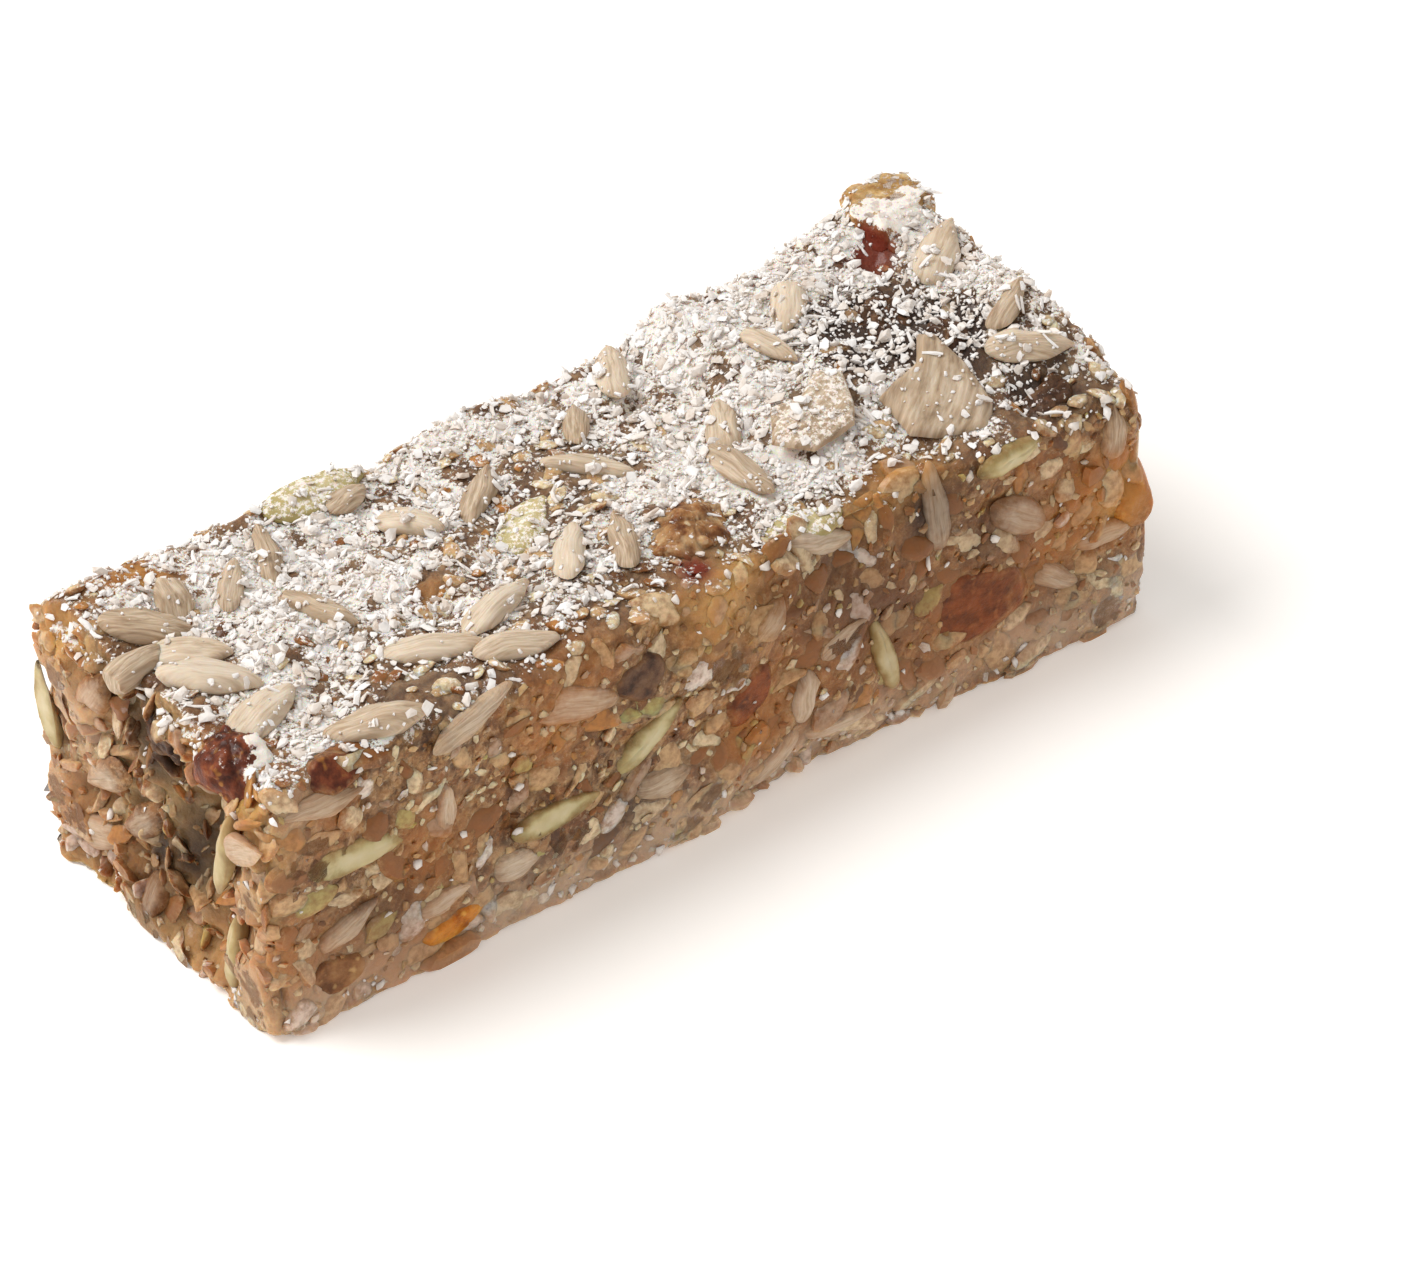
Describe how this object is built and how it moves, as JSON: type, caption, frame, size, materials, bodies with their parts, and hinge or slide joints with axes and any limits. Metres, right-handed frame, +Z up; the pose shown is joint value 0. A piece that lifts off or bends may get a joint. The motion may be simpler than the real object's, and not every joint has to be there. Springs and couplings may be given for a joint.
{
  "type": "granola bar",
  "caption": "Thick rectangular seed and fruit bar with cut sides, a broken end and shredded coconut on its top.",
  "frame": {"origin": "centre of the bar's footprint, on the surface it lies on", "axes": "+X along the bar from the broken end to the far cut end, +Y from the front cut side to the back, +Z up"},
  "size_m": [0.1, 0.037, 0.0326],
  "materials": {
    "seed_mix": "syrup-bound seed and fruit crumb, satin and uneven",
    "sunflower_seed": "dry hulled kernels with fine lengthwise streaks",
    "pumpkin_seed": "hulled and cut kernels, green at the skin and pale inside",
    "coconut": "dry shredded coconut",
    "cranberry": "wrinkled, moist and slightly see-through",
    "cherry": "wrinkled, moist and slightly see-through",
    "raisin": "wrinkled, with a dull skin",
    "peak_fruit": "wrinkled and moist, dusted with coconut",
    "apricot": "smooth, moist and see-through at the edges",
    "fig": "moist, with fine seeds"
  },
  "bodies": {
    "root": {"seed_bar": "seed_mix", "cranberry_corner": "cranberry", "cranberry_edge": "cranberry", "cherry_strip": "cherry", "cranberry_end": "cranberry", "cranberry_back": "cranberry", "cherry": "cherry", "cherry_slice": "cherry", "raisin_deck": "raisin", "raisin_deck_small": "raisin", "raisin_edge": "raisin", "raisin_slice": "raisin", "raisin_hollow": "raisin", "raisin_end": "raisin", "raisin_back": "raisin", "peak_fruit": "peak_fruit", "apricot_foot": "apricot", "apricot_end": "apricot", "apricot_back": "apricot", "fig_foot": "fig"}
  },
  "joints": []
}
